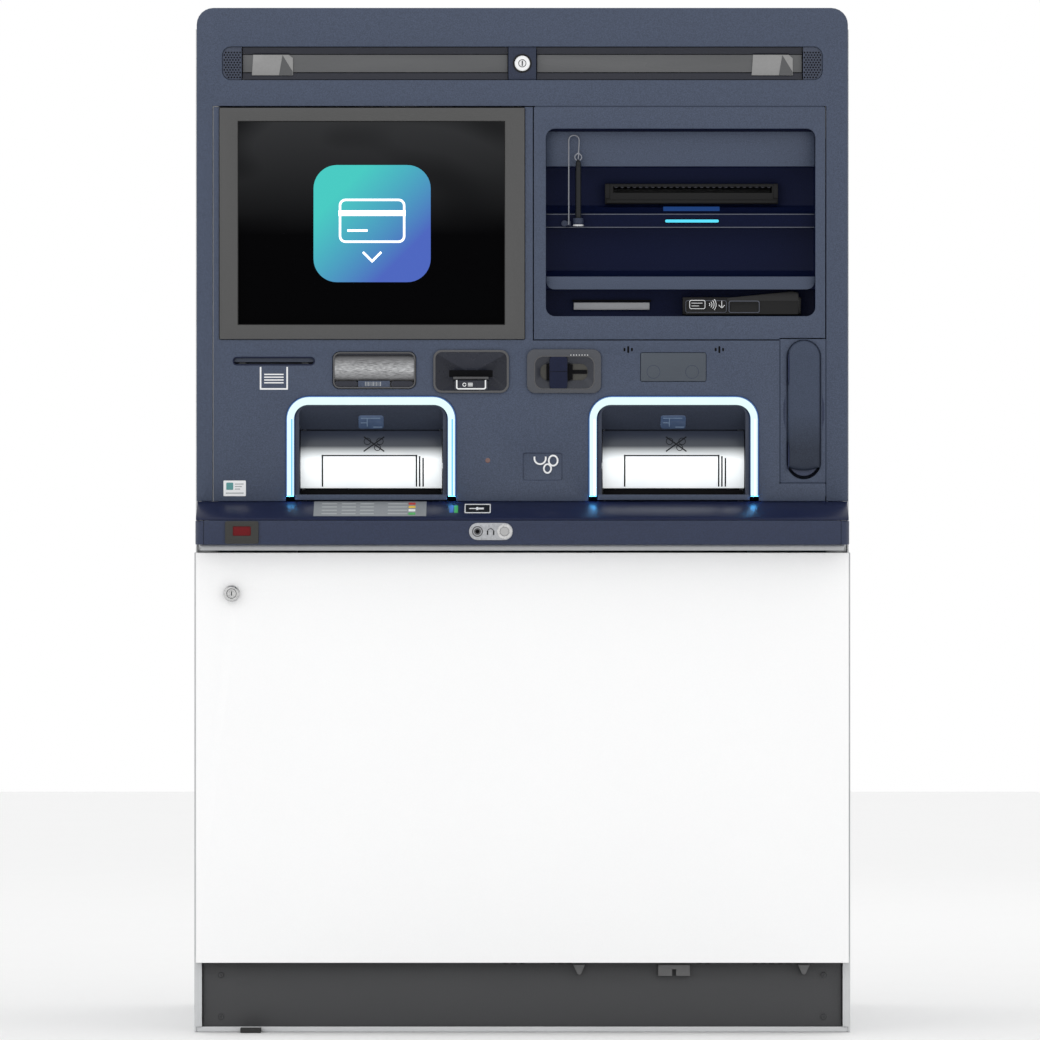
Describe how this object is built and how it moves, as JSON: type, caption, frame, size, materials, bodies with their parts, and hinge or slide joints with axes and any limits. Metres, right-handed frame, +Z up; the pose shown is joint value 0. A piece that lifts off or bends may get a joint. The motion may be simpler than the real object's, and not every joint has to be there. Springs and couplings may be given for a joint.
{
  "type": "automated teller machine",
  "caption": "Wide free-standing cash recycling machine with a swing-out fascia over a safe: screen, printer alcove, card readers, handset, lit cash slots and a lockable lower door.",
  "frame": {"origin": "on the floor, midway between the cabinet's sides and between the bumper's front and the rear panel", "axes": "+X to the customer's right, -Y towards the customer, +Z up"},
  "size_m": [0.94, 0.9, 1.468],
  "materials": {
    "fascia_paint": "satin moulding with a fine speckle",
    "navy_plastic": "satin dark blue moulding",
    "bumper_plastic": "satin moulding, slightly darker than the fascia",
    "white_steel": "smooth white powder coat",
    "side_steel": "light grey powder coat",
    "plinth_steel": "dark grey textured powder coat",
    "bare_steel": "zinc plated sheet and bar",
    "safe_steel": "hammered grey enamel",
    "black_plastic": "fine texture",
    "grey_plastic": "satin",
    "smoke_plastic": "translucent grey, polished",
    "screen_glass": "gloss black display",
    "band_light": "lit diffuser",
    "lamp_light": "lit cyan lens",
    "shutter_plastic": "milky, lit from below",
    "nickel": "satin nickel",
    "clear_plastic": "clear, slightly grey",
    "unit_plastic": "moulded frame of an inner unit"
  },
  "bodies": {
    "cabinet": {"base_plate": "side_steel", "foot_block": "black_plastic", "plinth": "plinth_steel", "left_side_panel": "side_steel", "right_side_panel": "side_steel", "top_panel": "side_steel", "rear_panel": "side_steel", "upper_frame": "bare_steel", "equipment_deck": "bare_steel", "safe_body": "safe_steel", "safe_hinges": "bare_steel", "cassettes": "unit_plastic", "left_note_head": "unit_plastic", "right_note_head": "unit_plastic", "computer": "unit_plastic", "power_supply": "unit_plastic", "lower_door_hinges": "bare_steel", "fascia_hinges": "bare_steel", "door_catches": "grey_plastic"},
    "fascia": {"fascia_frame": "bare_steel", "fascia_header": "fascia_paint", "main_panel": "fascia_paint", "alcove_panel": "fascia_paint", "handset_panel": "fascia_paint", "shelf": "navy_plastic", "bumper": "bumper_plastic", "header_light": "smoke_plastic", "speaker_grilles": "grey_plastic", "lock_block": "fascia_paint", "screen_frame": "grey_plastic", "display_panel": "screen_glass", "alcove_liner": "navy_plastic", "statement_printer": "unit_plastic", "statement_mouth": "black_plastic", "alcove_lamp": "lamp_light", "contactless_reader": "black_plastic", "deposit_strip": "clear_plastic", "pen_holder": "clear_plastic", "pen_tether": "clear_plastic", "receipt_printer": "unit_plastic", "code_scanner": "smoke_plastic", "card_mouth": "smoke_plastic", "card_reader": "unit_plastic", "dip_reader": "smoke_plastic", "blank_plate": "fascia_paint", "handset_cradle": "fascia_paint", "cash_throats": "navy_plastic", "light_bands": "band_light", "audio_plate": "nickel"},
    "lower_door": {"lower_door": "white_steel"},
    "lower_door_lock": {"lower_door_lock": "nickel"},
    "safe_door": {"safe_door": "safe_steel"},
    "safe_handle": {"safe_handle": "bare_steel"},
    "safe_bolts": {"safe_bolts": "bare_steel"},
    "fascia_lock": {"fascia_lock": "nickel"},
    "pen": {"pen": "black_plastic"},
    "handset": {"handset": "fascia_paint"},
    "left_shutter": {"left_shutter": "shutter_plastic"},
    "right_shutter": {"right_shutter": "shutter_plastic"},
    "volume_button": {"volume_button": "nickel"}
  },
  "joints": [
    {"name": "fascia_open", "type": "hinge", "parent": "cabinet", "child": "fascia", "pos_m": [-0.462, -0.33, 0], "axis": [0, 0, -1], "range_deg": [0, 95]},
    {"name": "lower_door_open", "type": "hinge", "parent": "cabinet", "child": "lower_door", "pos_m": [0.461, -0.397, 0], "axis": [0, 0, 1], "range_deg": [0, 100]},
    {"name": "safe_door_open", "type": "hinge", "parent": "cabinet", "child": "safe_door", "pos_m": [0.425, -0.35, 0], "axis": [0, 0, 1], "range_deg": [0, 100]},
    {"name": "safe_handle_turn", "type": "hinge", "parent": "safe_door", "child": "safe_handle", "pos_m": [-0.29, 0, 0.361], "axis": [0, 1, 0], "range_deg": [0, 90]},
    {"name": "safe_bolts_throw", "type": "slide", "parent": "safe_door", "child": "safe_bolts", "axis": [-1, 0, 0], "range_m": [0, 0.022]},
    {"name": "lower_door_lock_turn", "type": "hinge", "parent": "lower_door", "child": "lower_door_lock", "pos_m": [-0.4156, -0.412, 0.6285], "axis": [0, 1, 0], "range_deg": [0, 90]},
    {"name": "fascia_lock_turn", "type": "hinge", "parent": "fascia", "child": "fascia_lock", "pos_m": [0, -0.375, 1.38855], "axis": [0, 1, 0], "range_deg": [0, 90]},
    {"name": "left_shutter_open", "type": "hinge", "parent": "fascia", "child": "left_shutter", "pos_m": [-0.217, -0.285, 0.812], "axis": [-1, 0, 0], "range_deg": [0, 65]},
    {"name": "right_shutter_open", "type": "hinge", "parent": "fascia", "child": "right_shutter", "pos_m": [0.217, -0.285, 0.812], "axis": [-1, 0, 0], "range_deg": [0, 65]},
    {"name": "volume_press", "type": "slide", "parent": "fascia", "child": "volume_button", "axis": [0, 1, 0], "range_m": [0, 0.0015], "stiffness_N_per_m": 900},
    {"name": "handset_lift", "type": "slide", "parent": "fascia", "child": "handset", "axis": [0, -1, 0], "range_m": [0, 0.06]},
    {"name": "pen_lift", "type": "slide", "parent": "fascia", "child": "pen", "axis": [0, 0, 1], "range_m": [0, 0.02], "deforming": ["pen_tether"]}
  ],
  "couplings": [
    {"joint": "safe_door_open", "follows": "lower_door_open", "ratio": 1},
    {"joint": "safe_bolts_throw", "follows": "safe_handle_turn", "m_per_rad": 0.014006}
  ]
}
